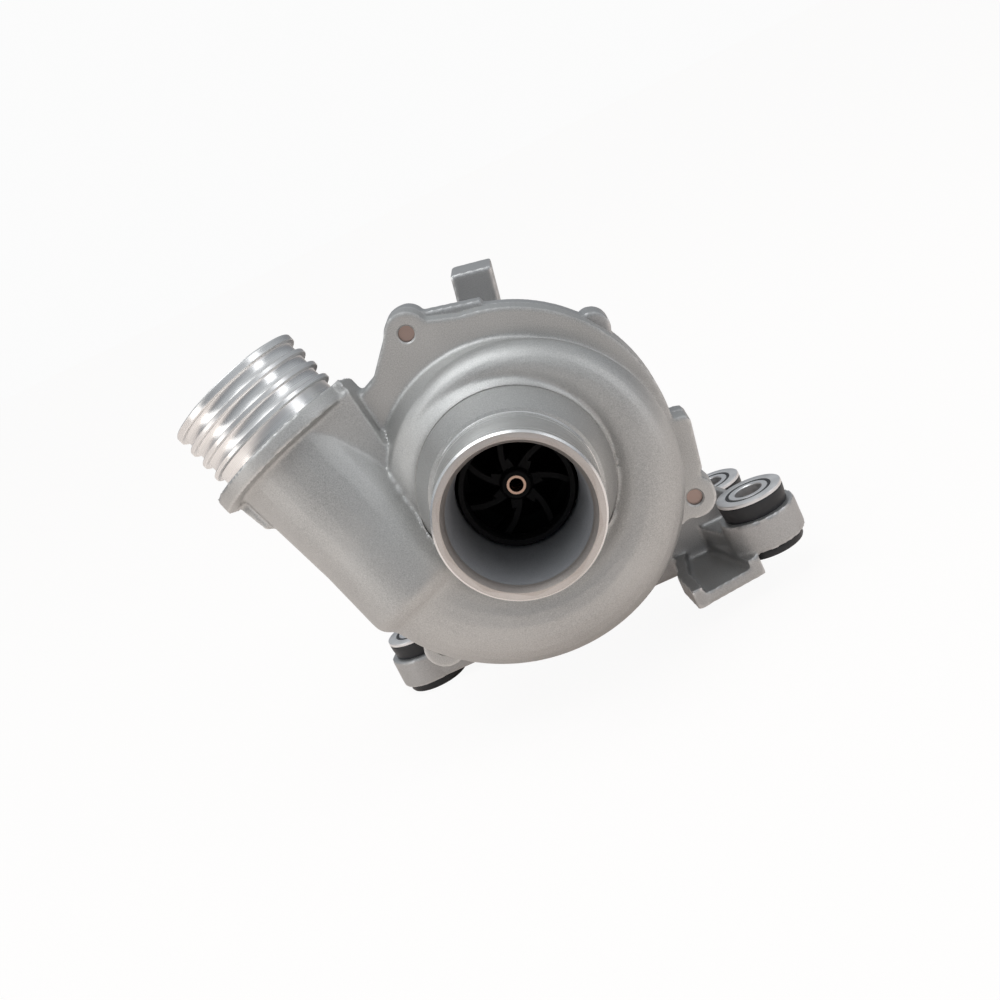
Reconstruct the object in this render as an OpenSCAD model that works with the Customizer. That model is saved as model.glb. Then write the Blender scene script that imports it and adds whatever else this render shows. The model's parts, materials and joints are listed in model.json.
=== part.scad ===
// Electric coolant pump for an engine bay.
// +Y runs along the shaft from the inlet mouth to the rear cover, +Z along the mounting bolts.
// The origin is the centre of the inlet mouth. All sizes are millimetres.

/* [Inlet neck] */
// Outer radius of the machined hose seat
neck_r = 24.5; // [22:0.1:28]
// Length of the machined hose seat
neck_len = 22.5; // [16:0.5:30]
// Radius of the shoulder that stops the hose
shoulder_r = 29.7; // [27:0.1:34]
// Bore radius at the inlet mouth
inlet_bore_r = 20.5; // [18:0.1:22]
// Bore radius just before the impeller
eye_r = 18.2; // [17.6:0.1:19.5]

/* [Volute] */
// Distance from the inlet mouth to the flange's front face
flange_y = 50; // [48:1:60]
// Thickness of the volute flange
flange_t = 9; // [8:0.5:12]
// Radius of the round part of the flange
flange_r = 50.3; // [46:0.1:56]
// Section radius of the spiral at the tongue
spiral_start_s = 6; // [5:0.1:8]
// Section radius of the spiral where it joins the outlet
spiral_end_s = 17.5; // [16:0.1:19]
// Outer radius of the spiral at the tongue
spiral_start_r = 38; // [37:0.1:42]
// Outer radius of the spiral where it joins the outlet
spiral_end_r = 61.5; // [60:0.1:66]
// Cast wall thickness
wall = 3.5; // [2.5:0.1:4]

/* [Outlet neck] */
// Radius over the hose ribs
outlet_neck_r = 23.25; // [22:0.05:26]
// Length of the ribbed neck in front of its collar
outlet_neck_len = 23; // [18:0.5:30]
// Radius of the cast collar behind the neck
collar_r = 27.6; // [26:0.1:31]
// Distance along the outlet from the spiral to the collar's front face
collar_at = 57; // [52:0.5:62]
// Angle by which the outlet leans back towards the motor
outlet_lean = 12; // [8:1:14]

/* [Motor] */
// Outer radius of the motor barrel
barrel_r = 37.5; // [37:0.5:42]
// Length of the motor housing
barrel_len = 83; // [83:1:105]
// Outer radius of the stator laminations
stator_r = 32; // [30:0.5:33]
// Radius of the rotor over its sleeve
rotor_r = 16.4; // [15:0.1:16.6]
// Shaft radius in the bearings
shaft_r = 4; // [3.5:0.1:4.5]
// Impeller radius
impeller_r = 27; // [25:0.5:27.5]

/* [Rear cover] */
// Length of the rear cover without its fins
cover_len = 25; // [25:1:40]
// Height of the cooling fins
fin_h = 4; // [3:0.5:10]
// Reach of the connector from the shaft axis
connector_reach = 64; // [60:1:72]

/* [Mounting bushes] */
// Bolt hole radius in each bush sleeve
bolt_hole_r = 4.6; // [4:0.1:5.2]
// Outer radius of each bush sleeve
sleeve_r = 6.8; // [6.2:0.1:7.5]
// Outer radius of each cast eye
eye_ring_r = 12.7; // [12:0.1:15]
// Height of each cast eye
eye_h = 10.5; // [8:0.5:14]
// Rubber height above the eye
rubber_top = 6.7; // [4:0.1:9]
// Rubber height below the eye
rubber_low = 3; // [2:0.1:5]

/* [Screws] */
// Thread radius of the flange screws
screw_r = 2.5; // [2:0.1:3]

/* [Hidden] */
$fn = 72;

// Clearances
fit_gap = 0.05;      // radial, screws and running shafts
free_gap = 0.4;      // between the rotor and what stands still
past = 1;            // how far a cutter runs past the face it cuts
sink = 0.5;          // how far joined shapes of one casting run into each other

// Volute
mate_y = flange_y + flange_t;          // mating face of volute and motor
spiral_y = flange_y - 6;               // plane of the spiral's section centres
tongue_a = 130;                        // angle where the spiral starts
spiral_sweep = 290.5;
outlet_a = tongue_a - spiral_sweep - 90 + 360;
outlet_foot_r = spiral_end_r - spiral_end_s;
outlet_len = collar_at + outlet_neck_len;
tube_r0 = spiral_end_s + 0.8;
tube_back = 8;                         // how far the tube starts before the spiral ends
tube_r1 = spiral_end_s + 4;
tube_bore_end = outlet_neck_r - 4;
collar_t = 5;
mouth_step = 0.5;                      // the bare rim in front of the first rib
end_band = 2.7;
rib_t = 1.5;
rib_h = 1.7;
rib_pitch = 5.2;
// wall from the tube to the collar's inner corner: [x, y] at the collar and where it runs out
web_top = [[collar_r, -11.5], [9, -19.3], [0, 0], [collar_r, 4]];
web_low = [[18.5, -3.7], [12, -13.5], [0, 0], [18.5, 4]];
web_low_at = 14;
// cast pad under the collar, as [x, distance along the outlet]
pad_outline = [[-24.7, collar_at - 3.5], [-23, collar_at - 15.8], [-19, collar_at - 18.5],
    [0, collar_at - 18.5], [0, collar_at - 3.5]];
pad_front = -4;
pad_back = 12;
lobe_r = 6.8;
lobe_spread = 21;
screw_at = [[-11.3, 51.9], [46.2, -31.6], [-44.5, -42.5]];
chamber_r = impeller_r + 1.5;
slot_half = 5;                         // half width of the slot from chamber to channel
slot_reach = 2.2;
spiral_steps = 28;
chamber_y = spiral_y - 1.6;            // front of the chamber at the impeller's rim
can_flange_r = chamber_r + 1;
can_flange_t = 6;
can_flange_y = mate_y - can_flange_t;
// fills the corner between the round flange and the outlet tube
flange_web = [[-17.7, 54], [-22, 49], [-26.5, 43.7], [-31.6, 41.4], [-38, 41], [-45, 5], [0, 0]];
// straight edge between the round flange and the right screw lobe
flange_corner = [[51.5, -6.2], [53.8, -6.6], [54.8, -8.6], [52, -24], [46, -31], [30, -10]];

// Impeller
nose_y = flange_y - 16.4;
shroud_wall = 1.6;
eye_ring_out = eye_r - 1;
plate_y = spiral_y + 6;                // front face of the impeller's back plate
plate_t = can_flange_y - plate_y - 2 * free_gap;
nose_shaft_r = 3;
shaft_bore_r = 2;
vane_count = 7;
vane_t = 1.8;
vane_bow = impeller_r * 0.72;          // radius of a vane's curve
vane_centre = [0.75, -0.55] * vane_bow;
hub_r = nose_shaft_r + 1.6;

// Rotor and stator
can_wall = 1.2;
can_in_r = rotor_r + 0.6;
can_out_r = can_in_r + can_wall;
rotor_y0 = mate_y + 13;
rotor_len = 30;
rotor_y1 = rotor_y0 + rotor_len;
bearing_r = 7;
bearing_len = 11;
front_bearing_y = can_flange_y + 1.2;
rear_bearing_y = rotor_y1 + 2;
can_end_y = rear_bearing_y + bearing_len + 1;
magnet_t = 2.2;
sleeve_t = 0.5;
pole_count = 8;
shaft_end_y = can_end_y - 2;
stator_gap = 0.3;
stator_in_r = can_out_r + stator_gap;
stator_y0 = rotor_y0 + 1;
stator_len = rotor_len - 2;
stator_y1 = stator_y0 + stator_len;
yoke_t = 5.5;
teeth = 9;
tooth_w = 7;
shoe_t = 2;
shoe_a = 15;
insulator_t = 2.5;
coil_t = 3.2;
coil_gap = 0.2;
coil_half_w = tooth_w / 2 + coil_gap + coil_t;

// Motor housing
barrel_end_y = mate_y + barrel_len;
front_wall_end = stator_y0 - insulator_t - coil_gap - coil_t - free_gap;
motor_flange_t = 7;
head_seat_y = mate_y + 9;              // where the flange screws' heads bear
screw_boss_len = 13;
back_boss_at = [39.5, 27.5];
back_boss_len = 12;
// part of the motor's flange that stands out past the volute at the top
top_shelf = [[-11, 56], [12.5, 50.5], [13, 40], [-11, 40]];
barrel_rib_angles = [20, 160, 200, 340];
barrel_rib_w = 3;
barrel_rib_h = 2.5;
relief_sides = 12;
relief_step = 22;
bulkhead_y = rear_bearing_y + bearing_len + 3;
bulkhead_t = 4;
board_y = bulkhead_y + bulkhead_t + 7;
board_t = 1.6;
board_r = barrel_r - 6;
chamber_rear_r = barrel_r - 4.5;
screw_head_r = 4.2;
washer_ring_r = bearing_r + 1;
passage_r = 1.4;
passage_at_r = (bearing_r + 3 + can_in_r) / 2;
phase_at_r = stator_r - 3;
phase_angles = [20, 140, 260];
board_screw_r = board_r - 4;
board_screw_angles = [0, 160, 240];
rear_flange_r = barrel_r + 0.8;
rear_flange_t = 6;
ear_r = 5.5;
ear_at_r = barrel_r + 3.5;
ear_angles = [195, 240, 300, 345];
tab_w = 14;
tab_a = 79;
tab_y = mate_y + 51;
tab_t = 22;
tab_reach = 55;
arm_t = 5;

// Bushes: [x, y, z of the top face]
bush_front = [62.7, flange_y + 20, -43];
bush_right = [54.1, flange_y + 80, -54.3];
bush_left = [-63.7, flange_y + 67, -54.3];
bush_h = rubber_top + eye_h + rubber_low;
washer_t = 1.2;
washer_out_r = eye_ring_r - 1.7;
washer_in_r = sleeve_r + 0.9;
eye_bore_r = eye_ring_r - 3;

// Support tray beside the front eye, seen from above
tray_floor_z = bush_front[2] - rubber_top - eye_h - 2.8;
tray_floor_t = 4;
tray_rib_t = 4;
tray_outline = [[33, 52], [57, 58], [48, 89], [32, 89], [30.5, 70]];

// Rear cover
gasket_t = 1;
cover_y = barrel_end_y + gasket_t;
cover_wall = 3;
cover_taper = 4;                       // how much narrower the cover is at its rear end
cover_end_y = cover_y + cover_len;
fin_t = 2.4;
fin_pitch = 8;
m4_r = 2;
connector_a = 165;
connector_w = 20;
connector_y = cover_y + connector_w / 2 + 2.5;
connector_h = 15;
connector_wall = 2;
pad_r = rear_flange_r + 0.6;           // outer face of the cover's connector pad
pin_rows = [-6, -2, 2, 6];
pin_w = 2.4;
pin_t = 0.8;
vent_r = 4;

// On the circuit board
cap_at_r = 22;
cap_angles = [60, 90, 120];
cap_r = 5;
cap_len = 20;
chip_angles = [180 : 30 : 330];
chip_size = [8.5, 2.3, 8];
chip_at_r = 15.5;
choke_at = [3, -14];
choke_r = 9;
choke_hole_r = 4;
choke_h = 10;

// A flat shape drawn in X and Z, given a thickness along +Y.
module along_y(y0, t) {
    translate([0, y0 + t, 0]) rotate([90, 0, 0]) linear_extrude(t) children();
}

// A profile drawn as radius and Y, turned about the shaft axis.
module turned() {
    rotate([-90, 0, 0]) rotate_extrude() children();
}

// A ring about the shaft axis.
module ring(r_in, r_out, y0, len) {
    turned() translate([r_in, y0]) square([r_out - r_in, len]);
}

// A cylinder along +Y at a place in X and Z.
module rod_y(at, y0, len, r) {
    translate([at[0], y0, at[1]]) rotate([-90, 0, 0]) cylinder(h = len, r = r);
}

function polar(r, a) = [r * cos(a), r * sin(a)];

// Radius of the outlet tube at a distance along it.
function tube_r(z) =
    tube_r0 + (tube_r1 - tube_r0) * (z + tube_back) / (collar_at - collar_t / 2 + tube_back);
function angle_of(p) = atan2(p[1], p[0]);

// Moves the children to the start of the outlet, with +Z along its axis.
module on_outlet() {
    foot = polar(outlet_foot_r, outlet_a + 90);
    translate([foot[0], spiral_y, foot[1]])
        rotate([0, 90 - outlet_a, 0]) rotate([-outlet_lean, 0, 0]) children();
}

// Share of the spiral's growth at t from 0 at the tongue to 1 at the outlet.
function growth(t) = 0.25 * t + 0.75 * (3 * t * t - 2 * t * t * t);
function section_s(t) = spiral_start_s + (spiral_end_s - spiral_start_s) * growth(t);
function section_r(t) = spiral_start_r + (spiral_end_r - spiral_start_r) * growth(t) - section_s(t);

// Ring of points round the spiral's outer section.
function outer_ring(t, sides) =
    let (a = tongue_a - spiral_sweep * t, s = section_s(t), rc = section_r(t))
    [for (k = [0 : sides - 1])
        let (b = 360 * k / sides, r = rc + s * cos(b))
        [r * cos(a), spiral_y + s * sin(b), r * sin(a)]];

// Ring of points round the channel: an arc with a slot that opens into the impeller chamber.
function channel_ring(t, sides) =
    let (a = tongue_a - spiral_sweep * t, s = section_s(t) - wall, rc = section_r(t),
        h = min(slot_half, 0.8 * s), b_end = 180 - asin(h / s), inner = chamber_r - slot_reach,
        arc = [for (k = [0 : sides - 3])
            let (b = b_end * (2 * k / (sides - 3) - 1)) [rc + s * cos(b), s * sin(b)]])
    [for (q = concat(arc, [[inner, h], [inner, -h]])) [q[0] * cos(a), spiral_y + q[1], q[0] * sin(a)]];

// Solid through rings of points, each with the same number of points.
module swept(rings) {
    sides = len(rings[0]);
    last = len(rings) - 1;
    walls = [for (i = [0 : last - 1], k = [0 : sides - 1])
        let (a = i * sides + k, b = i * sides + (k + 1) % sides)
        each [[a, b, b + sides], [a, b + sides, a + sides]]];
    start = [for (k = [0 : sides - 1]) sides - 1 - k];
    end = [for (k = [0 : sides - 1]) last * sides + k];
    polyhedron(points = [for (r = rings) each r], faces = concat([start], walls, [end]));
}

module spiral() { swept([for (i = [0 : spiral_steps]) outer_ring(i / spiral_steps, 16)]); }

module channel() { swept([for (i = [0 : spiral_steps]) channel_ring(i / spiral_steps, 12)]); }

// Outline of the joint flange: a disc with three screw lobes.
module flange_outline() {
    circle(r = flange_r);
    for (p = screw_at) {
        a = angle_of(p);
        side = lobe_r * [-sin(a), cos(a)];
        translate(p) circle(r = lobe_r);
        polygon([p + side, polar(flange_r - sink, a + lobe_spread), [0, 0],
            polar(flange_r - sink, a - lobe_spread), p - side]);
    }
    polygon(flange_corner);
}

module outlet_ribs() {
    band_at = outlet_len - end_band;
    translate([0, 0, collar_at - sink]) cylinder(h = outlet_neck_len + sink, r = outlet_neck_r - rib_h);
    translate([0, 0, band_at]) cylinder(h = end_band - mouth_step, r = outlet_neck_r);
    for (z = [band_at - rib_pitch : -rib_pitch : collar_at])
        translate([0, 0, z]) cylinder(h = rib_t, r = outlet_neck_r);
}

// Wall that ties the outlet tube to the collar's inner corner.
module outlet_web() {
    corner = web_top[0];
    swept([
        [for (q = web_low) [q[0], q[1], web_low_at]],
        [for (q = web_top) [q[0], q[1], collar_at - collar_t + sink]]
    ]);
    translate([corner[0] - 8, corner[1], collar_at - collar_t])
        cube([8, web_top[3][1] - corner[1], collar_t]);
}

module volute_housing() {
    color("silver") difference() {
        union() {
            // hose seat, shoulder and front dome
            turned() polygon([[0, 0], [neck_r - 0.6, 0], [neck_r, 0.6], [neck_r, neck_len],
                [neck_r + 1.2, neck_len + 0.5], [shoulder_r, neck_len + 10.5],
                [shoulder_r, neck_len + 12], [shoulder_r + 1.5, neck_len + 13.5],
                [flange_r - 12.5, flange_y - 9], [flange_r - 9, flange_y], [0, flange_y]]);
            intersection() {
                spiral();
                along_y(0, mate_y) square(4 * spiral_end_r, center = true);
            }
            along_y(flange_y, flange_t) {
                flange_outline();
                polygon(flange_web);
            }
            on_outlet() {
                translate([0, 0, -tube_back])
                    cylinder(h = collar_at - collar_t / 2 + tube_back, r1 = tube_r0, r2 = tube_r1);
                translate([0, 0, collar_at - collar_t]) cylinder(h = collar_t, r = collar_r);
                outlet_ribs();
                translate([0, pad_back, 0]) rotate([90, 0, 0])
                    linear_extrude(pad_back - pad_front) polygon(pad_outline);
                outlet_web();
            }
        }
        // inlet bore, impeller chamber and the seat of the can's flange
        turned() polygon([[0, -past], [inlet_bore_r + 1.4, -past], [inlet_bore_r + 1.4, 0],
            [inlet_bore_r, 3], [eye_r, neck_len + 1.5], [eye_r, nose_y + 1],
            [chamber_r, chamber_y], [chamber_r, can_flange_y], [can_flange_r, can_flange_y],
            [can_flange_r, mate_y + past], [0, mate_y + past]]);
        channel();
        on_outlet() {
            translate([0, 0, wall - tube_back])
                cylinder(h = outlet_len + past + tube_back - wall, r1 = tube_r0 - wall, r2 = tube_bore_end);
        }
        for (p = screw_at) rod_y(p, flange_y - past, flange_t + 2 * past, screw_r);
    }
}

// A wall of thickness t along the edge from p to q, on its left side.
module edge_wall(p, q, t) {
    n = t * [p[1] - q[1], q[0] - p[0]] / norm(q - p);
    polygon([p, q, q + n, p + n]);
}

function eye_z(bush) = bush[2] - rubber_top - eye_h;

// Moves the children to a bush, with the bottom of its eye at z = 0.
module at_eye(bush) {
    translate([bush[0], bush[1], eye_z(bush)]) children();
}

// Cast arm from the barrel to an eye: two ribs on a plate.
module arm(bush) {
    side = sign(bush[0]);
    z0 = eye_z(bush);
    half = eye_ring_r - 0.8;
    low = bush[1] - half;
    for (y = [low, low + 2 * half - arm_t])
        along_y(y, arm_t)
            polygon([[bush[0], z0], [bush[0], z0 + eye_h], [side * (barrel_r - 8), -barrel_r / 2],
                [side * 8, 4 - barrel_r], [side * 12, z0]]);
    translate([side > 0 ? 12 : bush[0], low, z0 + 1])
        cube([abs(bush[0]) - 12, 2 * half, arm_t]);
}

// Shelf beside the front eye, with a rib on each side and the wall that carries both.
module tray() {
    o = tray_outline;
    top = eye_z(bush_front);
    translate([0, 0, tray_floor_z - tray_floor_t]) {
        linear_extrude(tray_floor_t) polygon(o);
        linear_extrude(top - tray_floor_z + tray_floor_t) {
            edge_wall(o[1], o[2], tray_rib_t);
            edge_wall(o[3], o[4], tray_rib_t);
            edge_wall(o[4], o[0], tray_rib_t);
        }
    }
    along_y(o[2][1] - sink, arm_t)
        polygon([[o[3][0] - 14, tray_floor_z - tray_floor_t], [o[2][0] + 2, tray_floor_z - tray_floor_t],
            [bush_front[0] - 3, top], [bush_front[0] - 3, top + eye_h],
            [barrel_r - 8, -barrel_r / 2], [8, 4 - barrel_r]]);
    translate([0, 0, top]) linear_extrude(arm_t + 1)
        polygon([[bush_front[0] + eye_ring_r - 1, bush_front[1]],
            [bush_front[0] - 3, o[2][1] + arm_t - 2 * sink],
            [o[2][0] - 6, o[2][1] + arm_t - 2 * sink],
            [bush_front[0] - eye_ring_r + 1, bush_front[1]]]);
}

// Cutter that leaves room round a length of the outlet tube.
module tube_relief(z0, z1, r) {
    translate([0, 0, z0]) cylinder(h = z1 - z0,
        r = (r + free_gap) / cos(180 / relief_sides), $fn = relief_sides);
}

module motor_housing() {
    color("gray") difference() {
        union() {
            along_y(mate_y, motor_flange_t) {
                flange_outline();
                polygon(top_shelf);
            }
            rod_y(back_boss_at, mate_y, back_boss_len, ear_r);
            for (p = screw_at) rod_y(p, mate_y, screw_boss_len, lobe_r - 0.6);
            ring(0, barrel_r, mate_y, barrel_len);
            ring(0, rear_flange_r, barrel_end_y - rear_flange_t, rear_flange_t);
            for (a = ear_angles)
                rod_y(polar(ear_at_r, a), barrel_end_y - rear_flange_t - 6, rear_flange_t + 6, ear_r);
            // stiffening ribs along the barrel
            for (a = barrel_rib_angles)
                rotate([0, -a, 0]) translate([barrel_r - sink, mate_y + 4, -barrel_rib_w / 2])
                    cube([barrel_rib_h, barrel_len - 7, barrel_rib_w]);
            // lug on top
            rotate([0, -tab_a, 0]) translate([barrel_r - 2, tab_y, -tab_w / 2])
                cube([tab_reach - barrel_r + 2, tab_t, tab_w]);
            for (b = [bush_front, bush_right, bush_left])
                at_eye(b) cylinder(h = eye_h, r = eye_ring_r);
            arm(bush_right);
            arm(bush_left);
            tray();
        }
        // seat of the can, stator bay and electronics bay
        ring(0, can_out_r + fit_gap, mate_y - past, front_wall_end - mate_y + 2 * past);
        ring(0, stator_r, front_wall_end, bulkhead_y - front_wall_end);
        ring(0, chamber_rear_r, bulkhead_y + bulkhead_t, barrel_end_y - bulkhead_y);
        // clears the outlet tube that leans over the front wall, and its collar
        on_outlet() {
            tube_relief(-tube_back - 2, relief_step, tube_r(relief_step));
            tube_relief(relief_step - sink, collar_at, tube_r1);
            tube_relief(collar_at - collar_t - free_gap, collar_at + free_gap, collar_r);
        }
        for (p = screw_at) {
            rod_y(p, mate_y - past, 30, screw_r + 0.3);
            rod_y(p, head_seat_y, 30, screw_head_r + 1);
        }
        for (a = phase_angles)
            rod_y(polar(phase_at_r, a), bulkhead_y - past, bulkhead_t + 2 * past, 2.2);
        for (a = board_screw_angles) rod_y(polar(board_screw_r, a), bulkhead_y + 1, 20, 1.5);
        for (a = ear_angles) rod_y(polar(ear_at_r, a), barrel_end_y - 11, 20, m4_r);
        for (b = [bush_front, bush_right, bush_left])
            at_eye(b) {
                translate([0, 0, -20]) cylinder(h = eye_h + 60, r = eye_bore_r);
                translate([0, 0, eye_h]) cylinder(h = 40, r = eye_ring_r + 0.3);
                translate([0, 0, -20]) cylinder(h = 20, r = washer_out_r + free_gap);
            }
    }
}

// A screw whose thread points towards the inlet; tip_y is the end of the thread.
module screw(at, r, tip_y, head_y, head_r, head_h) {
    difference() {
        union() {
            rod_y(at, tip_y, head_y - tip_y, r - fit_gap);
            rod_y(at, head_y, head_h, head_r);
        }
        translate([at[0], head_y + head_h / 2, at[1]]) rotate([-90, 0, 0])
            cylinder(h = head_h, r = head_r / 2, $fn = 6);
    }
}

module flange_screws() {
    color("chocolate") for (p = screw_at)
        screw(p, screw_r, flange_y + 1.4, head_seat_y, screw_head_r, 4);
}

module separating_can() {
    step = rear_bearing_y - 0.8;
    color("dimgray") difference() {
        turned() polygon([[can_in_r, can_flange_y], [can_flange_r - fit_gap, can_flange_y],
            [can_flange_r - fit_gap, mate_y], [can_out_r, mate_y], [can_out_r, step + can_wall],
            [bearing_r + 2, step + can_wall], [bearing_r + 2, can_end_y + 1.5], [0, can_end_y + 1.5],
            [0, can_end_y], [bearing_r, can_end_y], [bearing_r, step], [can_in_r, step]]);
        ring(can_flange_r - 2.2, can_flange_r + past, can_flange_y + 2, 2.4);
    }
}

module can_seal() {
    color("black") turned() translate([can_flange_r - 1.1, can_flange_y + 3.2]) circle(r = 1);
}

module bearing_carrier() {
    color("tan") difference() {
        union() {
            ring(bearing_r, can_in_r, can_flange_y, can_flange_t);
            ring(bearing_r, bearing_r + 3, can_flange_y, bearing_len + 2);
        }
        ring(0, washer_ring_r, can_flange_y - past, front_bearing_y - can_flange_y + past);
        // passages for the coolant that cools the rotor
        for (a = [45 : 90 : 315]) rod_y(polar(passage_at_r, a), can_flange_y - past, can_flange_t + 2 * past, passage_r);
    }
}

module front_bearing() {
    color("black") ring(shaft_r + fit_gap, bearing_r, front_bearing_y, bearing_len);
}

module rear_bearing() {
    color("black") ring(shaft_r + fit_gap, bearing_r, rear_bearing_y, bearing_len);
}

module thrust_washer() {
    color("white")
        ring(shaft_r + free_gap, washer_ring_r, can_flange_y - free_gap,
            front_bearing_y - can_flange_y + free_gap);
}

// One tooth of the stator pointing at +X.
module tooth(r_in, r_out) {
    translate([r_in, -tooth_w / 2]) square([r_out - r_in, tooth_w]);
}

module tooth_shoe() {
    intersection() {
        difference() {
            circle(r = stator_in_r + shoe_t);
            circle(r = stator_in_r);
        }
        far = 2 * stator_r;
        polygon([[0, 0], polar(far, shoe_a), [far * 1.2, 0], polar(far, -shoe_a)]);
    }
}

module yoke(r_out) {
    difference() {
        circle(r = r_out);
        circle(r = stator_r - yoke_t);
    }
}

module stator_core() {
    color("slategray") along_y(stator_y0, stator_len) {
        yoke(stator_r);
        for (i = [0 : teeth - 1]) rotate(360 * i / teeth) {
            tooth(stator_in_r + 1, stator_r - yoke_t + sink);
            tooth_shoe();
        }
    }
}

module insulator(y0) {
    color("ivory") along_y(y0, insulator_t) {
        yoke(stator_r - 1);
        for (i = [0 : teeth - 1]) rotate(360 * i / teeth)
            tooth(stator_in_r + 1, stator_r - yoke_t + sink);
    }
}

module front_insulator() { insulator(stator_y0 - insulator_t); }

module rear_insulator() { insulator(stator_y1); }

// A block along the shaft round one tooth.
module coil_block(grow, r_in, r_out) {
    w = tooth_w + 2 * coil_gap + 2 * grow;
    len = stator_len + 2 * insulator_t + 2 * coil_gap + 2 * grow;
    mid = stator_y0 + stator_len / 2;
    translate([r_in, mid - len / 2, -w / 2]) cube([r_out - r_in, len, w]);
}

module stator_windings() {
    r0 = max(stator_in_r + shoe_t + 1, (coil_half_w + coil_gap) / tan(180 / teeth));
    r1 = sqrt(pow(stator_r - yoke_t, 2) - pow(coil_half_w, 2)) - coil_gap;
    color("peru") for (i = [0 : teeth - 1]) rotate([0, -360 * i / teeth, 0]) difference() {
        coil_block(coil_t, r0, r1);
        coil_block(0, r0 - past, r1 + past);
    }
}

module phase_pins() {
    y0 = stator_y1 + insulator_t;
    color("gold") for (a = phase_angles)
        rod_y(polar(phase_at_r, a), y0, board_y + board_t + 1.5 - y0, 1);
}

// Outer face of the shroud as radius and Y, from the eye to the rim.
function shroud_line(inner) = [
    [eye_ring_out - inner, nose_y - 4.6], [eye_ring_out - inner, nose_y + 1.5 + inner * 0.4],
    [eye_ring_out + 4 - inner * 0.6, nose_y + 5.4 + inner * 0.8],
    [impeller_r, chamber_y + 0.8 + inner]];

module impeller_shroud() {
    o = shroud_line(0);
    i = shroud_line(shroud_wall);
    color("dimgray") turned() polygon([o[0], o[1], o[2], o[3], i[3], i[2], i[1], i[0]]);
}

module impeller() {
    i = shroud_line(shroud_wall);
    color("black") difference() {
        union() {
            turned() polygon([[0, nose_y], [hub_r - 0.5, nose_y], [hub_r, nose_y + 0.5],
                [hub_r + 1.2, nose_y + 6], [hub_r + 4.5, plate_y - 4], [hub_r + 10, plate_y],
                [impeller_r, plate_y], [impeller_r, plate_y + plate_t], [0, plate_y + plate_t]]);
            intersection() {
                turned() polygon([[hub_r, i[1][1]], i[1], i[2], [impeller_r - 0.3, i[3][1]],
                    [impeller_r - 0.3, plate_y + sink], [hub_r, plate_y + sink]]);
                for (k = [0 : vane_count - 1]) rotate([0, -360 * k / vane_count, 0])
                    along_y(nose_y, plate_y - nose_y + 1) vane();
            }
        }
        rod_y([0, 0], nose_y - past, plate_y - nose_y - 2 + past, nose_shaft_r);
        rod_y([0, 0], plate_y - 2 - 0.01, plate_t + 4, shaft_r);
    }
}

// One backward-curved vane as a thin arc from the hub to past the rim.
module vane() {
    translate(vane_centre) intersection() {
        difference() {
            circle(r = vane_bow);
            circle(r = vane_bow - vane_t);
        }
        translate([-1.2, 0.2] * vane_bow) square([2, 1.2] * vane_bow);
    }
}

module rotor_shaft() {
    color("peru") difference() {
        union() {
            rod_y([0, 0], nose_y, plate_y - 2 - nose_y, nose_shaft_r);
            rod_y([0, 0], plate_y - 2, shaft_end_y - plate_y + 2, shaft_r);
        }
        rod_y([0, 0], nose_y - past, shaft_end_y - nose_y + 2 * past, shaft_bore_r);
    }
}

magnet_out_r = rotor_r - sleeve_t;
core_r = magnet_out_r - magnet_t;

module rotor_core() {
    color("slategray") ring(shaft_r, core_r, rotor_y0, rotor_len);
}

module rotor_magnets() {
    half = 180 / pole_count - 1.5;
    far = 2 * magnet_out_r;
    color("darkslategray") along_y(rotor_y0, rotor_len)
        for (i = [0 : pole_count - 1]) rotate(360 * i / pole_count) intersection() {
            difference() {
                circle(r = magnet_out_r);
                circle(r = core_r);
            }
            polygon([[0, 0], polar(far, half), [far * 1.2, 0], polar(far, -half)]);
        }
}

module rotor_sleeve() {
    color("lightgray") ring(magnet_out_r, rotor_r, rotor_y0, rotor_len);
}

module bush_rubber(bush) {
    color("black") at_eye(bush) difference() {
        union() {
            cylinder(h = eye_h, r = eye_bore_r);
            translate([0, 0, eye_h]) cylinder(h = rubber_top, r = washer_out_r);
            translate([0, 0, -rubber_low]) cylinder(h = rubber_low, r = washer_out_r);
        }
        translate([0, 0, -rubber_low - past]) cylinder(h = bush_h + 2 * past, r = sleeve_r);
        translate([0, 0, eye_h + rubber_top - washer_t]) difference() {
            cylinder(h = washer_t + past, r = washer_out_r + past);
            translate([0, 0, -past]) cylinder(h = washer_t + 3 * past, r = washer_in_r);
        }
    }
}

module bush_sleeve(bush) {
    color("lightgray") at_eye(bush) translate([0, 0, -rubber_low]) difference() {
        cylinder(h = bush_h, r = sleeve_r);
        translate([0, 0, -past]) cylinder(h = bush_h + 2 * past, r = bolt_hole_r);
    }
}

module bush_washer(bush) {
    color("silver") at_eye(bush) translate([0, 0, eye_h + rubber_top - washer_t]) difference() {
        cylinder(h = washer_t, r = washer_out_r);
        translate([0, 0, -past]) cylinder(h = washer_t + 2 * past, r = washer_in_r);
    }
}

module circuit_board() {
    color("darkgreen") difference() {
        ring(0, board_r, board_y, board_t);
        for (a = phase_angles) rod_y(polar(phase_at_r, a), board_y - past, board_t + 2 * past, 1);
        for (a = board_screw_angles)
            rod_y(polar(board_screw_r, a), board_y - past, board_t + 2 * past, 1.6);
    }
}

module board_screws() {
    color("silver") for (a = board_screw_angles) {
        at = polar(board_screw_r, a);
        difference() {
            rod_y(at, bulkhead_y + bulkhead_t, board_y - bulkhead_y - bulkhead_t, 3);
            rod_y(at, bulkhead_y, 20, 1.5);
        }
        screw(at, 1.5, bulkhead_y + 1.2, board_y + board_t, 2.8, 2);
    }
}

module capacitors() {
    color("navy") for (a = cap_angles) rod_y(polar(cap_at_r, a), board_y + board_t, cap_len, cap_r);
}

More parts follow.
